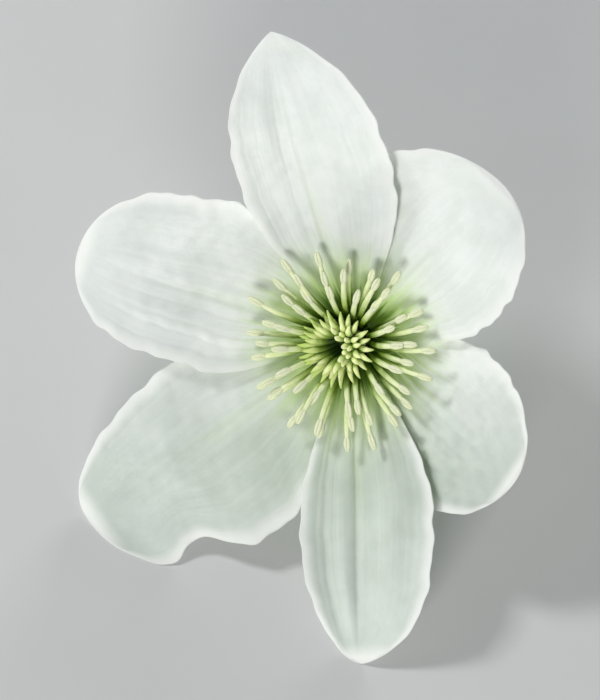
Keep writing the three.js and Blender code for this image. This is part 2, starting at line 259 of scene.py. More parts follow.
@dataclass
class Row:
    """A ring of stamens or styles, which end at reach out and rise up. start turns it by a share of a place,
    and lean bends its styles to the left."""

    count: int
    root_radius: float
    root_height: float
    reach: float
    rise: float
    start: float
    lean: float = 0


# From the outside in
STAMEN_ROWS = [
    Row(21, 2.42, 0.95, 11.2, 6.9, 0.0),
    Row(19, 2.25, 1.2, 9.3, 7.3, 0.5),
    Row(16, 2.1, 1.45, 7.3, 7.0, 0.2),
]
STYLE_ROWS = [
    Row(22, 1.55, 1.6, 4.7, 6.0, 0.0, 0.6),
    Row(18, 1.45, 1.8, 3.8, 6.5, 0.5, 1.0),
    Row(14, 1.35, 1.9, 2.9, 6.8, 0.2, 1.5),
    Row(10, 1.15, 2.0, 1.9, 6.9, 0.6, 1.3),
]


def smooth(value, low, high):
    """0 up to low, 1 from high on, and a soft step between."""
    share = np.clip((value - low) / (high - low), 0, 1)
    return share * share * (3 - 2 * share)


def present(value, begins, full, fades, gone):
    """1 from full to fades, with soft steps from 0 at begins and to 0 at gone."""
    return smooth(value, begins, full) * (1 - smooth(value, fades, gone))


def bell(value, middle, reach):
    return np.exp(-(((value - middle) / reach) ** 2))


def between(low, high, share):
    return low + (high - low) * share


def unit(rows):
    """Each row of an array at length 1."""
    return rows / np.linalg.norm(rows, axis=-1, keepdims=True)


def lean_turn():
    azimuth = math.radians(LEAN_TOWARDS)
    axis = Vector((-math.sin(azimuth), math.cos(azimuth), 0))
    return np.array(Matrix.Rotation(math.radians(LEAN), 3, axis))


HEAD_TURN = lean_turn()
UP_IN_HEAD = HEAD_TURN.T @ WORLD_UP


def from_head(points):
    """Points of the head to where they stand, both in millimetres."""
    return np.asarray(points, float) @ HEAD_TURN.T + HEAD


def radial(azimuth, radius, height):
    return np.array([radius * math.cos(azimuth), radius * math.sin(azimuth), height])


def bezier(p0, p1, p2, p3, count):
    share = np.linspace(0, 1, count)[:, None]
    rest = 1 - share
    return rest**3 * p0 + 3 * rest**2 * share * p1 + 3 * rest * share**2 * p2 + share**3 * p3


def plane_waves(seed, count, longest, shortest):
    """A smooth random surface over x and y, about -1 to 1, from waves in random directions."""
    draw = random.Random(seed)
    parts = []
    for index in range(count):
        length = between(longest, shortest, index / max(1, count - 1))
        turn = draw.uniform(0, math.tau)
        rate = math.tau / length
        parts.append((rate * math.cos(turn), rate * math.sin(turn), draw.uniform(0, math.tau)))

    def at(x, y):
        total = sum(np.sin(px * x + py * y + phase) for px, py, phase in parts)
        return total / math.sqrt(count)

    return at


# The swell that neighbouring tepals share, and the finer unevenness of one face
SHARED_SWELL = plane_waves(3, 6, 26, 9)
CRUMPLE = plane_waves(17, 11, 4.2, 1.7)


class Shape:
    """Points and faces gathered for one mesh, with a place on the material for each point."""

    def __init__(self):
        self.points = []
        self.faces = []
        self.places = []
        self.kinds = []
        self.count = 0

    def add(self, points, faces, places=None, kinds=0):
        """kinds says which material each face takes, or all of them."""
        points = np.asarray(points, float).reshape(-1, 3)
        if places is None:
            places = np.zeros((len(points), 2))
        self.points.append(points)
        self.places.append(np.asarray(places, float).reshape(-1, 2))
        self.faces.extend([tuple(corner + self.count for corner in face) for face in faces])
        self.kinds.extend(kinds if isinstance(kinds, list) else [kinds] * len(faces))
        self.count += len(points)

    def make_object(self, name, materials):
        """The finished object, from points in millimetres."""
        points = np.concatenate(self.points) * MM
        places = np.concatenate(self.places)
        mesh = bpy.data.meshes.new(name)
        mesh.from_pydata(points.tolist(), [], self.faces)
        mesh.polygons.foreach_set("use_smooth", [True] * len(mesh.polygons))
        mesh.polygons.foreach_set("material_index", self.kinds)
        corners = np.zeros(len(mesh.loops), dtype=np.int64)
        mesh.loops.foreach_get("vertex_index", corners)
        layer = mesh.uv_layers.new(name="UVMap")
        layer.data.foreach_set("uv", places[corners].astype(np.float32).ravel())
        for material in materials:
            mesh.materials.append(material)
        mesh.validate()
        mesh.update()
        made = bpy.data.objects.new(name, mesh)
        bpy.context.scene.collection.objects.link(made)
        return made


def sheet_shape(upper, lower, along, across, lower_kind=0):
    """A thin sheet between two grids of points. along and across are their places on the material."""
    rows, columns = along.shape[0] - 1, along.shape[1] - 1
    width = columns + 1
    size = along.size
    upper_faces = []
    lower_faces = []
    for row in range(rows):
        for column in range(columns):
            a = row * width + column
            b = a + width
            upper_faces.append((a, b, b + 1, a + 1))
            lower_faces.append((a + size, a + 1 + size, b + 1 + size, b + size))
    edge = list(range(columns))
    edge += [row * width + columns for row in range(rows)]
    edge += [rows * width + column for column in range(columns, 0, -1)]
    edge += [row * width for row in range(rows, 0, -1)]
    rim = [(start, end, end + size, start + size) for start, end in zip(edge, edge[1:] + edge[:1])]
    kinds = [0] * len(upper_faces) + [lower_kind] * len(lower_faces) + [0] * len(rim)
    places = np.stack([0.5 + 0.5 * across, along], -1)
    shape = Shape()
    shape.add(np.stack([upper, lower]), upper_faces + lower_faces + rim, np.stack([places, places]), kinds)
    return shape


def grid(along, columns):
    """Places over a sheet, from -1 to 1 across it."""
    return np.meshgrid(along, np.linspace(-1, 1, columns + 1), indexing="ij")


def rings_round(line, side, above, wide, thick, sides):
    """A ring of points round each point of a line, with radii along side and above."""
    turn = math.tau * np.arange(sides) / sides
    line, side, above = line[:, None], side[:, None], above[:, None]
    return line + side * (wide * np.cos(turn))[..., None] + above * (thick * np.sin(turn))[..., None]


def band_faces(rings, sides, first=0, forward=True):
    """Faces between rings of points that follow each other. forward says which way round the rings run."""
    faces = []
    for ring in range(rings - 1):
        for corner in range(sides):
            a = first + ring * sides + corner
            b = first + ring * sides + (corner + 1) % sides
            faces.append((a, b, b + sides, a + sides) if forward else (a, a + sides, b + sides, b))
    return faces


def fan_faces(tip, ring, sides, forward=True):
    """Faces from the ring that starts at a point to a tip."""
    faces = []
    for corner in range(sides):
        here = ring + corner
        following = ring + (corner + 1) % sides
        faces.append((tip, here, following) if forward else (tip, following, here))
    return faces


def add_tube(shape, path, across, wide, thick, sides=8, kind=0):
    """A closed tube along a path in the head, with its radii along across and at right angles to it."""
    path = from_head(path)
    across = HEAD_TURN @ across
    tangent = unit(np.gradient(path, axis=0))
    side = unit(across - (tangent @ across)[:, None] * tangent)
    rings = rings_round(path, side, np.cross(tangent, side), wide[:, None], thick[:, None], sides)
    count = len(path)
    start = count * sides
    faces = band_faces(count, sides) + fan_faces(start, 0, sides, forward=False)
    faces += fan_faces(start + 1, start - sides, sides)
    places = np.stack(np.meshgrid(np.arange(sides) / sides, np.linspace(0, 1, count)), -1)
    places = np.concatenate([places.reshape(-1, 2), [[0.5, 0.0], [0.5, 1.0]]])
    shape.add(np.concatenate([rings.reshape(-1, 3), path[:1], path[-1:]]), faces, places, kind)


def add_turned(shape, profile, segments, kind=0):
    """A turned solid, or a ring if the profile closes, from pairs of radius and height in the head."""
    profile = np.asarray(profile, float)
    turn = math.tau * np.arange(segments) / segments
    radius, height = profile[:, None, 0], profile[:, None, 1]
    height = np.broadcast_to(height, (len(profile), segments))
    points = np.stack([radius * np.cos(turn), radius * np.sin(turn), height], -1)
    faces = band_faces(len(profile), segments)
    last = (len(profile) - 1) * segments
    if np.allclose(profile[0], profile[-1]):
        points = points[:-1]
        faces = [tuple(corner % last for corner in face) for face in faces]
    else:
        faces.append(tuple(reversed(range(segments))))
        faces.append(tuple(range(last, last + segments)))
    shape.add(from_head(points.reshape(-1, 3)), faces, kinds=kind)


def add_hair(shape, root, direction, length, radius):
    """A fine tapered hair with three sides."""
    direction = unit(direction)
    is_upright = abs(direction[2]) >= 0.9
    side = unit(np.cross(direction, RIGHT if is_upright else WORLD_UP))
    above = np.cross(direction, side)
    turn = math.tau * np.arange(3) / 3
    ring = root + radius * (side * np.cos(turn)[:, None] + above * np.sin(turn)[:, None])
    tip = root + direction * length
    shape.add(np.concatenate([ring, [tip]]), [(2, 1, 0), (0, 1, 3), (1, 2, 3), (2, 0, 3)])


def half_width(tepal, index, along, across):
    """The outline, with its filled claw, dents and ragged edges."""
    is_left = across > 0
    full = np.where(is_left, tepal.left, tepal.right)
    share = np.clip(along / tepal.widest, 0, 1)
    growing = between(TEPAL_BASE_HALF_WIDTH, full, np.sin(math.pi / 2 * share**tepal.flare))
    towards_tip = np.clip((along - tepal.widest) / (1 - tepal.widest), 0, 1)
    squareness = np.where(is_left, *tepal.tips)
    closing = full * np.maximum(0, 1 - towards_tip**squareness) ** tepal.blunt
    half = np.where(along < tepal.widest, growing, closing)
    outward = between(TEPAL_BASE_RADIUS, tepal.length, along)
    half = half + np.where(is_left, *tepal.claw_fill) * present(outward, *CLAW_FILLED)
    for dent in tepal.dents:
        missing = np.minimum(dent.depth * bell(along, dent.at, dent.reach), half / 2)
        half = half - np.where(across * dent.side > 0, missing, 0)
    ragged = edge_waves(RAGGED_WAVES, along, across, random.Random(200 + index))
    return half * (1 + ragged * present(along, 0.2, 0.4, 0.9, 1))


def edge_waves(waves, along, across, draw):
    """Fine waves along the edges, out of step on the two sides."""
    side = np.sign(across)
    return sum(
        size * np.sin(rate * along + shift * side + draw.uniform(0, math.tau)) for rate, shift, size in waves
    )


def cup(radius):
    return CUP_HEIGHT * (1 - np.exp((TEPAL_BASE_RADIUS - radius) / CUP_REACH))


def cup_slope(radius):
    return CUP_HEIGHT / CUP_REACH * np.exp((TEPAL_BASE_RADIUS - radius) / CUP_REACH)


def relief(tepal, index, along, across, edgeward, free):
    """Height of the folds, the grooves and the crimped edges."""
    draw = random.Random(100 + index)

    def phase():
        return draw.uniform(0, math.tau)

    drift = FOLD_DRIFT * np.sin(3.1 * along + phase())
    folds = np.sin(math.tau * tepal.folds * (across + drift) / 2 + phase())
    strength = 0.65 + 0.35 * np.sin(4.3 * along + 2.1 * across + phase())
    flatter_edge = 1 - 0.5 * np.abs(across) ** 3
    height = tepal.fold_depth * folds * strength * flatter_edge * present(along, 0.1, 0.28, 0.72, 1.0)
    for vein in range(VEINS):
        place = VEIN_SPREAD * ((vein + 0.5 + draw.uniform(-0.3, 0.3)) / VEINS - 0.5)
        waver = VEIN_WAVER * np.sin(draw.uniform(4, 8) * along + phase())
        depth = draw.uniform(*VEIN_DEPTHS) * present(along, 0.08, 0.25, 0.6, 0.97)
        height = height - depth * bell(across, place + waver, VEIN_WIDTH)
    height = height - MIDRIB_DEPTH * bell(across, 0, MIDRIB_WIDTH) * present(along, 0.05, 0.2, 0.6, 0.95)
    height = height + edge_waves(CRIMP_WAVES, along, across, draw) * free * np.abs(edgeward) ** 8
    return height + EDGE_UPTURN * free * np.abs(edgeward) ** 12


def landing_lift(height, softness):
    """What raises a face that would sink through the surface. softness is how gently it lands."""
    lift = np.maximum(0, -height)
    if softness:
        near = (height + softness) ** 2 / (4 * softness) - height
        lift = np.where(np.abs(height) < softness, near, lift)
    return lift


def tepal_sides(tepal, index, along, across):
    """The inner and the outer side of a tepal, as grids of points in the head. along runs from 0 at the claw
    to 1 at the tip, and across from -1 at the right edge to 1 at the left."""
    is_left = across > 0
    sideways = across * half_width(tepal, index, along, across)
    outward = between(TEPAL_BASE_RADIUS, tepal.length, along)
    outward = outward - sideways**2 / (2 * TEPAL_BASE_RADIUS) * (1 - smooth(outward, *CLAW_UNWRAPS))
    drifted = sideways + tepal.bend * along**2
    azimuth = math.radians(tepal.azimuth)
    x = outward * math.cos(azimuth) - drifted * math.sin(azimuth)
    y = outward * math.sin(azimuth) + drifted * math.cos(azimuth)
    radius = np.hypot(x, y)

    free = smooth(along, *FREE_FROM)
    edgeward = sideways / np.where(is_left, tepal.left, tepal.right)
    is_over = np.where(is_left, *tepal.over) > 0
    over_left, over_right = tepal.over
    layer = between(over_right, over_left, smooth(across, -OVERLAP_MIDDLE, OVERLAP_MIDDLE))
    apart = smooth(radius, *OVERLAP_PARTS) * (1 - smooth(along, OVERLAP_ENDS, 1))
    ripple = np.sin(WAVE_TURNS * along * np.sign(across) + tepal.phase)
    crumpled = smooth(radius, 8, 16) * (1 - 0.85 * smooth(along, 0.68, 1.0))
    height = (
        cup(radius)
        + OVERLAP_STEP * apart * layer
        + tepal.channel * edgeward**2 * np.where(is_over, np.maximum(free, along), free)
        + tepal.wave * free * np.abs(edgeward) ** 3 * ripple
        - tepal.curl * (np.maximum(0, along - CURL_STARTS) / (1 - CURL_STARTS)) ** 2
        + OVER_EDGE_LIFT * is_over * edgeward**4 * smooth(along, 0.15, 0.4)
        + relief(tepal, index, along, across, edgeward, free)
        + SWELL_HEIGHT * SHARED_SWELL(x, y) * smooth(radius, 6, 14)
        + tepal.crumple * CRUMPLE(x, y) * crumpled
    )
    outer = np.stack([x, y, height - TEPAL_THICKNESS * np.hypot(1, cup_slope(radius))], -1)
    lift = landing_lift(outer @ UP_IN_HEAD + HEAD[2], tepal.landing)
    outer = outer + lift[..., None] * UP_IN_HEAD
    thickness = between(CLAW_THICKNESS, BLADE_THICKNESS, smooth(along, 0.0, CLAW_SHARE))
    nearest_edge = np.maximum(np.abs(across), smooth(along, TIP_EDGE_STARTS, 1.0))
    thickness = thickness * between(1, EDGE_SHARE, nearest_edge**5)
    return outer + thickness[..., None] * FACE, outer


def tepal_shape(tepal, index):
    rows = np.linspace(0, 1, BLADE_ROWS + 1)
    first_row = -CLAW_REACH / (tepal.length - TEPAL_BASE_RADIUS)
    rows = between(first_row, BLADE_LAST_ROW, (1 - np.cos(math.pi * rows)) / 2)
    along, across = grid(rows, BLADE_COLUMNS)
    inner, outer = tepal_sides(tepal, index, along, across)
    return sheet_shape(from_head(inner), from_head(outer), along, across, lower_kind=1)


def add_anther(shape, path, across, draw):
    """A slim anther in line with the end of its filament: two lobes with a seam between them."""
    outward = unit(path[-1] - path[-2])
    length = ANTHER_LENGTH * between(*ANTHER_SIZES, draw.random())
    above = np.cross(outward, across)
    steps = np.linspace(0, 1, 13)
    fullness = np.sin(math.pi * (0.04 + 0.92 * steps)) ** 0.55
    for hand in (-1, 1):
        line = (
            path[-1]
            + outward * (length * (steps - 0.5))[:, None]
            + across * (hand * 0.42 * ANTHER_WIDTH * fullness)[:, None]
            + above * (0.05 * np.sin(math.pi * steps))[:, None]
        )
        radius = 0.5 * ANTHER_WIDTH * fullness
        add_tube(shape, line, across, radius * 1.1, radius)
    seam = path[-1] + outward * (length * 0.96 * (steps - 0.5))[:, None] - above * 0.1
    wide = 0.3 * ANTHER_WIDTH * fullness
    thick = 0.28 * ANTHER_WIDTH * fullness
    add_tube(shape, seam, across, wide, thick, sides=6, kind=1)


def spread(rows, jitter, sizes, sway, draw):
    """Each stamen or style: its row, azimuth and size, the direction across it and its sway that way."""
    for row in rows:
        for index in range(row.count):
            place = index + row.start + jitter * (draw.random() - 0.5)
            azimuth = math.tau * place / row.count
            size = between(*sizes, draw.random())
            across = radial(azimuth + math.pi / 2, 1, 0)
            yield row, azimuth, size, across, sway * (draw.random() - 0.5) * across


def stamen_shapes():
    """The filaments with the collar that they grow from, and their anthers."""
    filaments = Shape()
    anthers = Shape()
    draw = random.Random(11)
    inner, outer = COLLAR_INNER_RADIUS, RECEPTACLE_RADIUS
    rounded = COLLAR_TOP - COLLAR_ROUNDING
    collar = [
        (inner, COLLAR_BOTTOM), (outer, COLLAR_BOTTOM), (outer, rounded),
        (outer - COLLAR_ROUNDING, COLLAR_TOP), (inner + COLLAR_ROUNDING, COLLAR_TOP),
        (inner, rounded), (inner, COLLAR_BOTTOM),
    ]
    add_turned(filaments, collar, 64)
    places = spread(STAMEN_ROWS, STAMEN_JITTER, STAMEN_SIZES, STAMEN_SWAY, draw)
    for row, azimuth, size, across, sway in places:
        droop = STAMEN_DROOP * (draw.random() - 0.4)
        path = bezier(
            radial(azimuth, row.root_radius, row.root_height),
            radial(azimuth, row.root_radius + 0.16 * row.reach, 0.6 * row.rise),
            radial(azimuth, 0.62 * row.reach, 0.9 * row.rise * size) + 0.4 * sway,
            radial(azimuth, row.reach * size, row.rise * size - droop) + sway,
            16,
        )
        share = np.linspace(0, 1, len(path))
        wide = FILAMENT_WIDTH * (0.8 + 0.35 * share - 0.5 * share**6)
        thick = FILAMENT_THICKNESS * (1.15 - 0.35 * share)
        add_tube(filaments, path, across, wide, thick)
        add_anther(anthers, path, across, draw)
    return filaments, anthers


def add_style_hairs(shape, path, azimuth, across, draw):
    """Silky hairs on the sides of a style that face up and out."""
    for _ in range(STYLE_HAIRS):
        root = path[int(draw.uniform(0.15, 0.85) * (len(path) - 1))]
        turn = draw.uniform(0, math.tau)
        out = across * math.cos(turn) + radial(azimuth, 1, 0) * math.sin(turn)
        direction = out + draw.uniform(0.9, 1.6) * FACE
        length = draw.uniform(*STYLE_HAIR_LENGTHS)
        if math.sin(turn) > -0.2:
            foot = from_head(root + out * STYLE_RADIUS * 0.8)
            add_hair(shape, foot, HEAD_TURN @ direction, length, STYLE_HAIR_RADIUS)


def carpel_shapes():
    """The styles with the core that they grow from, and their hairs."""
    styles = Shape()
    hairs = Shape()
    draw = random.Random(5)
    core = [
        (0.85 * CORE_RADIUS, COLLAR_BOTTOM), (CORE_RADIUS, COLLAR_BOTTOM + 0.5),
        (CORE_RADIUS, CORE_TOP - 0.5), (0.93 * CORE_RADIUS, CORE_TOP - 0.15),
        (0.75 * CORE_RADIUS, CORE_TOP), (0.4 * CORE_RADIUS, CORE_TOP - 0.15),
        (0.12 * CORE_RADIUS, CORE_TOP - 0.3),
    ]
    add_turned(styles, core, 48, kind=1)
    places = spread(STYLE_ROWS, STYLE_JITTER, STYLE_SIZES, STYLE_SWAY, draw)
    for row, azimuth, size, across, sway in places:
        if row.reach < OPEN_ROW_REACH and math.cos(azimuth) < OPEN_ROW_FROM:
            continue
        path = bezier(
            radial(azimuth, row.root_radius, row.root_height),
            radial(azimuth, row.root_radius + 0.1, 0.62 * row.rise),
            radial(azimuth, between(row.root_radius, row.reach, 0.35), 1.04 * row.rise * size),
            radial(azimuth, row.reach * size, row.rise * size) + sway,
            14,
        )
        share = np.linspace(0, 1, len(path))
        path[:, 0] -= row.lean * share**1.2
        radius = STYLE_RADIUS * (0.9 + 0.3 * np.sin(math.pi * share) ** 2) * (1 - 0.75 * share**9)
        add_tube(styles, path, across, radius, radius)
        add_style_hairs(hairs, path, azimuth, across, draw)
    return styles, hairs


def receptacle_shape():
    shape = Shape()
    profile = [
        (1.02 * STALK_RADIUS, -NECK_DEPTH), (0.98, -3.6), (1.3, -2.9), (1.7, -2.3), (2.15, -1.8),
        (2.45, -1.4), (RECEPTACLE_RADIUS, -1.0), (RECEPTACLE_RADIUS, -0.1),
        (RECEPTACLE_RADIUS - 0.15, RECEPTACLE_TOP), (0.4, RECEPTACLE_TOP + 0.28),
    ]
    add_turned(shape, profile, 64)
    return shape


class Course:
    """The middle line of the stalk, with the directions along, beside and above it."""

    def __init__(self, line):
        self.line = line
        self.share = np.linspace(0, 1, len(line))
        self.tangent = unit(np.gradient(line, axis=0))
        self.side = unit(np.cross(self.tangent, WORLD_UP))
        self.above = np.cross(self.side, self.tangent)


def stalk_course():
    """The stalk's course from its root in the receptacle to its cut end, in even steps."""
    lying = STALK_RADIUS * math.cos(math.pi / 8)
    leave = from_head((STALK_SINK - NECK_DEPTH) * FACE)
    down = HEAD_TURN @ -FACE

    def place(x, y, heading):
        return np.array([HEAD[0] + x, HEAD[1] + y, lying]), radial(math.radians(heading), 1, 0)

    touch, touch_heading = place(*STALK_TOUCH)
    end, end_heading = place(*STALK_END)
    hold_leave, hold_down, hold_lie, hold_end = STALK_HOLDS
    bow = bezier(leave, leave + hold_leave * down, touch - hold_down * touch_heading, touch, 200)
    lie = bezier(touch, touch + hold_lie * touch_heading, end - hold_end * end_heading, end, 200)
    line = np.concatenate([bow, lie[1:]])
    length = np.concatenate([[0], np.cumsum(np.linalg.norm(np.diff(line, axis=0), axis=1))])
    even = np.linspace(0, length[-1], STALK_STEPS + 1)
    return Course(np.stack([np.interp(even, length, line[:, axis]) for axis in range(3)], -1))


def stalk_radius(share):
    return STALK_RADIUS + NODE_SWELL * bell(share, NODE_AT, NODE_REACH)


def stalk_shape(course):
    """The ribbed stalk with its cut face, which is a little hollow."""
    turn = math.tau * np.arange(STALK_SIDES) / STALK_SIDES
    share = course.share[:, None]
    rib = 1 + RIB_DEPTH * np.cos(STALK_RIBS * turn + 1.5 * share)
    uneven = 1 + 0.03 * np.sin(23 * share) + 0.02 * np.sin(61 * share + 1)
    radius = stalk_radius(share) * rib * uneven * 0.97
    rings = rings_round(course.line, course.side, course.above, radius, radius, STALK_SIDES)
    rings[..., 2] = np.maximum(rings[..., 2], 0.0)
    end = course.line[-1]
    outward = course.tangent[-1]
    cut_rings = [end + (rings[-1] - end) * scale + outward * rise for scale, rise in CUT_RINGS]
    points = np.concatenate([rings.reshape(-1, 3), *cut_rings, [end - 0.02 * outward], course.line[:1]])

    count = len(course.line)
    last_ring = (count - 1) * STALK_SIDES
    middle = last_ring + (1 + len(CUT_RINGS)) * STALK_SIDES
    bark = band_faces(count, STALK_SIDES, forward=False) + fan_faces(middle + 1, 0, STALK_SIDES)
    cut = band_faces(len(CUT_RINGS) + 1, STALK_SIDES, first=last_ring, forward=False)
    cut += fan_faces(middle, middle - STALK_SIDES, STALK_SIDES, forward=False)
    around = range(STALK_SIDES)
    places = [(corner / STALK_SIDES, along) for along in course.share for corner in around]
    places += [(scale, 1) for scale, _ in CUT_RINGS for _ in around] + [(0, 1), (0, 0)]
    shape = Shape()
    shape.add(points, bark + cut, places, [0] * len(bark) + [1] * len(cut))
    return shape


def stalk_down_shape(course):
    """Short hairs all over the stalk, clear of the surface that it lies on."""
    shape = Shape()
    draw = random.Random(21)
    for _ in range(STALK_HAIRS):
        step = draw.randrange(8, len(course.line) - 2)
        angle = draw.uniform(-0.35 * math.pi, 1.35 * math.pi)
        out = course.side[step] * math.cos(angle) + course.above[step] * math.sin(angle)
        root = course.line[step] + out * stalk_radius(course.share[step]) * 0.95
        if root[2] < 0.25:
            continue
        lean = np.array([draw.uniform(-0.5, 0.5) for _ in range(3)])
        direction = unit(out + 0.5 * lean + 0.3 * course.tangent[step])
        length = draw.uniform(*STALK_HAIR_LENGTHS)
        if root[2] + length * min(0, direction[2]) > 0.03:
            add_hair(shape, root, direction, length, STALK_HAIR_RADIUS)
    return shape


def bract_shape(course, hand):
    """A small pointed bract with a folded middle, on one side of the stalk's node."""
    step = int(round(NODE_AT * (len(course.line) - 1)))
    turn = Matrix.Rotation(hand * math.radians(BRACT_SPREAD), 3, "Z")
    outward = np.array(turn @ Vector(-course.tangent[step]))
    along, across = grid(np.linspace(0, 0.985, BRACT_ROWS + 1), BRACT_COLUMNS)
    half = BRACT_HALF_WIDTH * np.sin(math.pi * between(0.25, 1, along))
    middle = (
        course.line[step]
        + outward * (BRACT_LENGTH * along)[..., None]
        + np.cross(WORLD_UP, outward) * (half * across)[..., None]
    )
    middle[..., 2] += BRACT_RISE * along + 0.22 * across**2 * smooth(along, 0, 0.4)
    middle[..., 2] += 0.03 * np.cos(9 * across) * smooth(along, 0, 0.3)
    thick = BRACT_THICKNESS * (1 - 0.7 * np.abs(across) ** 3) * (1 - 0.5 * along)
    rise = thick[..., None] / 2 * WORLD_UP
    return sheet_shape(middle + rise, middle - rise, along, across)


class Nodes:
    """A small helper to lay out the nodes of one material."""

    def __init__(self, name):
        self.material = bpy.data.materials.new(name)
        self.material.use_nodes = True
        self.tree = self.material.node_tree
        self.tree.nodes.clear()
        output = self.tree.nodes.new("ShaderNodeOutputMaterial")
        self.shader = self.tree.nodes.new("ShaderNodeBsdfPrincipled")
        self.tree.links.new(self.shader.outputs[0], output.inputs[0])

    def put(self, node, values):
        for key, value in values.items():
            socket = node.inputs[key]
            if isinstance(value, bpy.types.NodeSocket):
                self.tree.links.new(value, socket)
            else:
                socket.default_value = (*value, 1) if socket.type == "RGBA" else value

    def node(self, kind, values, **settings):
        made = self.tree.nodes.new(kind)
        for key, value in settings.items():
            setattr(made, key, value)
        self.put(made, values)
        return made

    def math(self, operation, *values):
        return self.node("ShaderNodeMath", dict(enumerate(values)), operation=operation).outputs[0]

    def times(self, first, second):
        return self.math("MULTIPLY", first, second)

    def vector(self, operation, *values):
        made = self.node("ShaderNodeVectorMath", dict(enumerate(values)), operation=operation)
        is_number = operation in ("DOT_PRODUCT", "LENGTH")
        return made.outputs["Value" if is_number else "Vector"]

    def combine(self, x, y):
        return self.node("ShaderNodeCombineXYZ", {0: x, 1: y}).outputs[0]

    def mix(self, factor, first, second, kind="MIX"):
        values = {"Factor": factor, "A": first, "B": second}
        return self.node("ShaderNodeMix", values, data_type="RGBA", blend_type=kind).outputs["Result"]

    def steps(self, value, low, high, at_low, at_high):
        """at_low up to low, at_high from high on, and a soft step between."""
        values = {"Value": value, "From Min": low, "From Max": high, "To Min": at_low, "To Max": at_high}
        return self.node("ShaderNodeMapRange", values, interpolation_type="SMOOTHSTEP").outputs["Result"]

    def rises(self, value, low, high):
        return self.steps(value, low, high, 0.0, 1.0)

    def falls(self, value, low, high):
        return self.steps(value, low, high, 1.0, 0.0)

    def noise(self, scale, detail=3.0, roughness=0.5, at=None):
        where = self.place() if at is None else at
        values = {"Vector": where, "Scale": scale, "Detail": detail, "Roughness": roughness}
        return self.node("ShaderNodeTexNoise", values).outputs["Fac"]

    def uv(self):
        flat = self.node("ShaderNodeUVMap", {}, uv_map="UVMap").outputs[0]
        parts = self.node("ShaderNodeSeparateXYZ", {0: flat})
        return parts.outputs[0], parts.outputs[1]

    def place(self):
        return self.node("ShaderNodeTexCoord", {}).outputs["Object"]

    def in_head(self, direction):
        """How far a point lies from the middle of the head in one of its directions, in millimetres."""
        offset = self.vector("SUBTRACT", self.place(), tuple(HEAD * MM))
        return self.vector("DOT_PRODUCT", offset, tuple(HEAD_TURN @ direction / MM))

    def from_axis(self):
        """Distance from the axis of the head, in millimetres."""
        return self.vector("LENGTH", self.combine(self.in_head(RIGHT), self.in_head(TOP)))

    def varied(self, share, cloud, amount):
        """A share that a noise moves up and down."""
        return self.math("ADD", share, self.times(self.math("SUBTRACT", cloud, 0.5), amount))

    def bump(self, height, strength, distance):
        values = {"Height": height, "Strength": strength, "Distance": distance}
        self.put(self.shader, {"Normal": self.node("ShaderNodeBump", values).outputs[0]})

    def finish(self, color, roughness, subsurface=0.0, radius=(1, 1, 1), scale=0.001, sheen=0.0,
               specular=0.4):
        self.put(self.shader, {
            "Base Color": color, "Roughness": roughness, "Subsurface Weight": subsurface,
            "Subsurface Radius": radius, "Subsurface Scale": scale, "Sheen Weight": sheen,
            "Specular IOR Level": specular,
        })
        return self.material


def petal_white(made, across, along, streak):
    """White with faint streaks and clouds. Painted shade greys the lower half, the claws low and at the
    upper left, the left tips and the lower right, and a painted highlight brightens the thin edges.
    """
    tone = made.varied(made.noise(170.0, 4.0, 0.6), streak, made.steps(along, 0.55, 1.0, 0.55, 0.1))
    white = made.mix(made.rises(tone, 0.28, 0.72), (0.72, 0.775, 0.72), (0.83, 0.88, 0.825))
    reach = made.from_axis()
    right = made.in_head(RIGHT)
    top = made.in_head(TOP)
    # Painted shade: these masks grey the parts of the tepals that lie in shade, as a tone baked into the
    # white
    painted_shade_lower_half = made.falls(top, -17.16, 0.84)
    painted_shade_lower_claws = made.times(made.falls(top, -14.16, -7.16), made.falls(reach, 13, 27))
    painted_shade_left_tips = made.falls(right, -25, -13)
    painted_shade_low_right = made.times(made.falls(top, -6.16, -0.16), made.rises(right, 8, 15))
    upper_left = made.times(made.rises(top, 6.84, 12.84), made.falls(right, 1, 6))
    painted_shade_upper_claws = made.times(upper_left, made.falls(reach, 14, 25))
    for mask, grey in (
        (painted_shade_lower_half, (0.79, 0.82, 0.785)),
        (painted_shade_lower_claws, (0.86, 0.885, 0.84)),
        (painted_shade_left_tips, (0.915, 0.915, 0.93)),
        (painted_shade_low_right, (0.885, 0.885, 0.89)),
        (painted_shade_upper_claws, (0.86, 0.86, 0.87)),
    ):
        white = made.mix(mask, white, grey, "MULTIPLY")
    # Painted highlight: the thin edges and the tip are lightened towards a bright cream
    edge = made.math("MAXIMUM", made.rises(across, 0.80, 0.98), made.rises(along, 0.92, 0.99))
    return made.mix(made.times(edge, 0.9), white, (0.93, 0.96, 0.89))


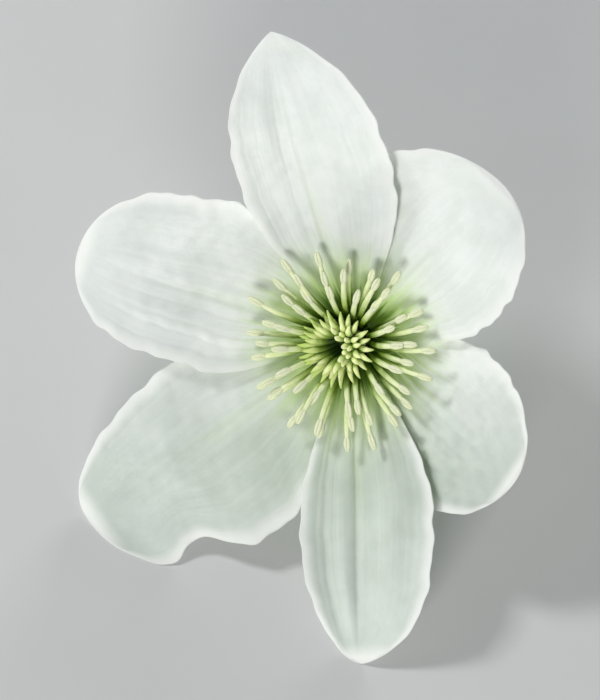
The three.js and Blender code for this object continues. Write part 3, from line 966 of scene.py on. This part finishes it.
def tepal_material(name, is_back):
    """Petal tissue: white, turning green towards the middle of the flower and, behind, along the midrib."""
    made = Nodes(name)
    sideways, along = made.uv()
    across = made.times(made.math("ABSOLUTE", made.math("SUBTRACT", sideways, 0.5)), 2.0)
    lengthwise = made.combine(made.times(sideways, 34.0), made.times(along, 2.2))
    stretched = made.vector("MULTIPLY_ADD", made.place(), (45.0, 45.0, 45.0), lengthwise)
    streak = made.noise(1.0, 4.0, 0.62, at=stretched)
    grain = made.noise(2600.0, 2.0, 0.6)
    reach = made.varied(made.from_axis(), streak, 9.0)
    tint = made.math("POWER", made.falls(reach, 5.5, 20), 3.3)
    midrib = made.falls(across, 0.03, 0.15)
    if is_back:
        midrib = made.times(midrib, made.steps(along, 0.1, 0.95, 0.5, 0.06))
        tint = made.math("MAXIMUM", tint, made.steps(along, 0.0, 0.7, 0.42, 0.05))
        claw_green = (0.24, 0.36, 0.075)
    else:
        midrib = made.times(midrib, made.steps(along, 0.15, 0.7, 0.2, 0.0))
        claw_green = (0.13, 0.25, 0.015)
    tint = made.math("MAXIMUM", tint, midrib)
    color = made.mix(tint, petal_white(made, across, along, streak), (0.54, 0.73, 0.26))
    color = made.mix(made.falls(reach, 4.3, 7.2), color, claw_green)
    made.bump(made.math("ADD", made.times(streak, 1.4), made.times(grain, 0.5)), 0.3, 0.00007)
    return made.finish(color, made.steps(grain, 0.3, 0.7, 0.42, 0.56), subsurface=0.4,
                       radius=(1.0, 1.0, 0.9), scale=0.0012, sheen=0.06, specular=0.35)


def filament_material():
    """Pale lime towards the anther and green at the root, darkened there by painted shade, which reaches a
    little further up on the right.
    """
    made = Nodes("filament_tissue")
    around, along = made.uv()
    share = made.varied(along, made.noise(900.0), 0.25)
    pale = made.mix(made.rises(share, 0.45, 0.92), (0.40, 0.55, 0.09), (0.84, 0.92, 0.55))
    # Painted shade: the dark root colour stands in for the shade among the roots, and reaches further up on
    # the right
    painted_shade_right = made.times(made.rises(made.in_head(RIGHT), 0, 3), 0.10)
    root = made.falls(made.math("SUBTRACT", share, painted_shade_right), 0.28, 0.68)
    color = made.mix(root, pale, (0.09, 0.17, 0.008))
    made.bump(made.math("SINE", made.times(around, 50.0)), 0.3, 0.00004)
    return made.finish(color, 0.45, subsurface=0.3, radius=(0.9, 1.0, 0.4), scale=0.0006)


def anther_material(name, light, dark):
    made = Nodes(name)
    grain = made.noise(5200.0, 3.0, 0.6)
    color = made.mix(made.rises(grain, 0.3, 0.7), dark, light)
    made.bump(grain, 0.5, 0.00006)
    return made.finish(color, 0.6, subsurface=0.2, radius=(0.8, 0.9, 0.4), scale=0.0004, sheen=0.1,
                       specular=0.3)


def style_material():
    """Lime green, dark at the root. The tips are palest in the inner rows, and paler on the right than on
    the left as painted light and shade; the roots beside the hollow on the right are lightened as painted
    light."""
    made = Nodes("style_tissue")
    _, along = made.uv()
    cloud = made.noise(1400.0)
    share = made.varied(along, cloud, 0.2)
    right = made.in_head(RIGHT)
    reach = made.from_axis()
    # Painted light and shade: the tips are paler on the right and greener on the left
    paleness_with_painted_light = made.times(made.steps(right, -5.5, -1, 0.5, 1.0), made.steps(reach, 2.8, 4.6, 1.0, 0.3))
    pale = made.times(paleness_with_painted_light, made.rises(share, 0.55, 0.85))
    pale = made.mix(pale, (0.42, 0.58, 0.09), (0.92, 1.0, 0.48))
    # Painted light: the roots beside the hollow on the right are lightened
    painted_light_by_hollow = made.times(made.falls(reach, 1.8, 3.0), made.rises(right, -0.8, 0.8))
    root = made.mix(painted_light_by_hollow, (0.055, 0.13, 0.005), (0.34, 0.50, 0.07))
    color = made.mix(made.falls(share, 0.33, 0.80), pale, root)
    made.bump(cloud, 0.4, 0.00005)
    return made.finish(color, 0.4, subsurface=0.3, radius=(0.7, 1.0, 0.3), scale=0.0006, sheen=0.1)


def core_material():
    made = Nodes("core_tissue")
    grain = made.noise(1800.0, 4.0)
    color = made.mix(made.rises(grain, 0.3, 0.7), (0.05, 0.12, 0.005), (0.14, 0.26, 0.02))
    made.bump(grain, 0.6, 0.0001)
    return made.finish(color, 0.55, specular=0.3)


def hair_material():
    made = Nodes("silky_hair")
    grain = made.noise(3000.0, 2.0)
    color = made.mix(grain, (0.60, 0.66, 0.42), (0.86, 0.88, 0.74))
    return made.finish(color, 0.5, sheen=0.2)


def stalk_material():
    """Downy olive green, browner in patches and towards the cut, with pale streaks along it."""
    made = Nodes("stalk_bark")
    around, along = made.uv()
    patch = made.noise(260.0, 4.0, 0.6)
    speck = made.noise(2400.0, 3.0, 0.6)
    streak = made.math("SINE", made.times(around, 75.4))
    tone = made.math("ADD", patch, made.times(streak, 0.06))
    green = made.mix(made.rises(speck, 0.3, 0.75), (0.115, 0.17, 0.035), (0.24, 0.32, 0.09))
    brown = made.mix(made.steps(along, 0.25, 0.9, 0.0, 0.75), green, (0.13, 0.085, 0.045))
    color = made.mix(made.steps(tone, 0.42, 0.62, 0.0, 0.7), green, brown)
    made.bump(made.math("ADD", made.times(streak, 0.4), speck), 0.5, 0.00008)
    return made.finish(color, made.steps(speck, 0.2, 0.8, 0.5, 0.7), subsurface=0.1,
                       radius=(0.6, 1.0, 0.3), scale=0.0005, sheen=0.25, specular=0.35)


def cut_material():
    """The cut face: pale pith inside a ring of green."""
    made = Nodes("stalk_pith")
    outward, _ = made.uv()
    grain = made.noise(4200.0)
    pith = made.mix(grain, (0.55, 0.58, 0.36), (0.78, 0.79, 0.58))
    color = made.mix(made.rises(outward, 0.6, 0.82), pith, (0.20, 0.27, 0.08))
    made.bump(grain, 0.6, 0.00008)
    return made.finish(color, 0.6, subsurface=0.1, specular=0.3)


def bract_material():
    """Green with a paler midrib."""
    made = Nodes("bract_tissue")
    sideways, _ = made.uv()
    cloud = made.noise(900.0, 4.0)
    vein = made.falls(made.math("ABSOLUTE", made.math("SUBTRACT", sideways, 0.5)), 0.02, 0.08)
    green = made.mix(made.rises(cloud, 0.3, 0.7), (0.10, 0.17, 0.03), (0.20, 0.30, 0.07))
    color = made.mix(made.times(vein, 0.6), green, (0.36, 0.43, 0.16))
    made.bump(cloud, 0.4, 0.00008)
    return made.finish(color, 0.5, subsurface=0.15, radius=(0.5, 1.0, 0.3), scale=0.0005, sheen=0.2)


def receptacle_material():
    """Speckled green, with painted shade that darkens its top between the claws and the stamens."""
    made = Nodes("receptacle_tissue")
    speck = made.noise(1500.0, 4.0, 0.6)
    color = made.mix(made.rises(speck, 0.3, 0.7), (0.16, 0.24, 0.05), (0.33, 0.43, 0.13))
    # Painted shade on the top of the receptacle, between the claws and the stamens
    color = made.mix(made.steps(made.in_head(FACE), -1.2, -0.5, 0.0, 0.85), color, (0.09, 0.17, 0.012))
    made.bump(speck, 0.5, 0.0001)
    return made.finish(color, 0.55, subsurface=0.1, radius=(0.5, 1.0, 0.3), scale=0.0005, sheen=0.2,
                       specular=0.35)


def floor_material():
    made = Nodes("pale_floor")
    grain = made.noise(60.0, 5.0, 0.6)
    color = made.mix(grain, (0.60, 0.605, 0.60), (0.63, 0.635, 0.63))
    made.bump(grain, 0.05, 0.0002)
    return made.finish(color, 0.85, specular=0.2)


def keep(piece, slot, *nodes):
    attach(piece, "root")
    if nodes:
        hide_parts(*nodes)


def build_flower():
    faces = [tepal_material("tepal_inner_face", False), tepal_material("tepal_outer_face", True)]
    for index, tepal in enumerate(TEPALS):
        name = f"tepal_{index + 1}"
        keep(tepal_shape(tepal, index).make_object(f"fine_{name}", faces), "tepal", name)
    filaments, anthers = stamen_shapes()
    lobes = anther_material("anther_lobes", (0.82, 0.86, 0.61), (0.72, 0.77, 0.48))
    seam = anther_material("anther_seam", (0.52, 0.57, 0.36), (0.40, 0.45, 0.25))
    keep(filaments.make_object("filaments", [filament_material()]), "stamen", "stamens")
    keep(anthers.make_object("anthers", [lobes, seam]), "stamen")
    styles, hairs = carpel_shapes()
    silk = hair_material()
    keep(styles.make_object("styles", [style_material(), core_material()]), "carpel", "carpels")
    keep(hairs.make_object("style_hairs", [silk]), "carpel")
    course = stalk_course()
    stalk = stalk_shape(course)
    keep(stalk.make_object("stalk", [stalk_material(), cut_material()]), "stalk", "flower_stalk")
    keep(stalk_down_shape(course).make_object("stalk_down", [silk]), "stalk")
    keep(receptacle_shape().make_object("receptacle", [receptacle_material()]), "stalk")
    leaf = bract_material()
    for name, hand in (("bract_left", 1), ("bract_right", -1)):
        keep(bract_shape(course, hand).make_object(name, [leaf]), "stalk")


def place_camera():
    """Looks down on the flower, and its tepals fill the picture."""
    back = HEAD_TURN @ unit(VIEW_FROM)
    up = HEAD_TURN @ TOP
    up = unit(up - (up @ back) * back)
    right = np.cross(up, back)
    along, across = grid(np.linspace(0, 0.999, 60), 30)
    inner = [tepal_sides(tepal, index, along, across)[0] for index, tepal in enumerate(TEPALS)]
    points = from_head(np.reshape(inner, (-1, 3))) * MM
    in_view = np.stack([points @ right, points @ up], -1)
    low = in_view.min(axis=0)
    high = in_view.max(axis=0)
    middle = (low + high) / 2
    aim = right * middle[0] + up * middle[1] + back * (points @ back).mean()
    width, height = high - low
    tall = max(height, width * IMAGE_HEIGHT / IMAGE_WIDTH) / FILL
    data = bpy.data.cameras.new("camera")
    data.sensor_fit = "VERTICAL"
    data.sensor_height = SENSOR
    data.sensor_width = SENSOR
    data.lens = SENSOR * CAMERA_DISTANCE / tall
    data.clip_start = 0.01
    data.clip_end = 20
    camera = bpy.data.objects.new("camera", data)
    bpy.context.scene.collection.objects.link(camera)
    placed = Matrix(np.stack([right, up, back], 1).tolist()).to_4x4()
    placed.translation = Vector(aim + back * CAMERA_DISTANCE)
    camera.matrix_world = placed
    bpy.context.scene.camera = camera


def add_light(name, azimuth, elevation, distance, size, watts, color=(1, 1, 1)):
    """A soft square light that faces the flower. Azimuth 0 is in front of it, at -Y, and 90 at +X."""
    data = bpy.data.lights.new(name, "AREA")
    data.shape = "SQUARE"
    data.size = size
    data.energy = watts
    data.color = color
    light = bpy.data.objects.new(name, data)
    turn, rise = math.radians(azimuth), math.radians(elevation)
    back = Vector((math.sin(turn) * math.cos(rise), -math.cos(turn) * math.cos(rise), math.sin(rise)))
    light.location = Vector((0, 0, 0.015)) + back * distance
    light.rotation_mode = "QUATERNION"
    light.rotation_quaternion = back.to_track_quat("Z", "Y")
    bpy.context.scene.collection.objects.link(light)


def add_floor():
    """A wide floor just under the surface that the flower lies on."""
    half = 3.0
    depth = -0.00002
    corners = [(-half, -half, depth), (half, -half, depth), (half, half, depth), (-half, half, depth)]
    mesh = bpy.data.meshes.new("floor")
    mesh.from_pydata(corners, [], [(0, 1, 2, 3)])
    mesh.materials.append(floor_material())
    floor = bpy.data.objects.new("floor", mesh)
    bpy.context.scene.collection.objects.link(floor)


def build_studio():
    add_floor()
    world = bpy.data.worlds.new("studio")
    world.use_nodes = True
    background = world.node_tree.nodes["Background"]
    background.inputs["Color"].default_value = (0.93, 0.96, 1.0, 1)
    background.inputs["Strength"].default_value = 0.24
    bpy.context.scene.world = world
    bpy.context.scene.view_settings.view_transform = "Standard"
    warm, cool = (1.0, 0.99, 0.97), (0.97, 0.98, 1.0)
    add_light("key", azimuth=-14, elevation=22, distance=0.75, size=0.26, watts=3.3, color=warm)
    add_light("side", azimuth=-118, elevation=46, distance=0.8, size=0.14, watts=3.0, color=cool)
    add_light("back", azimuth=160, elevation=14, distance=0.8, size=0.4, watts=3.0)


place_camera()
build_studio()
build_flower()
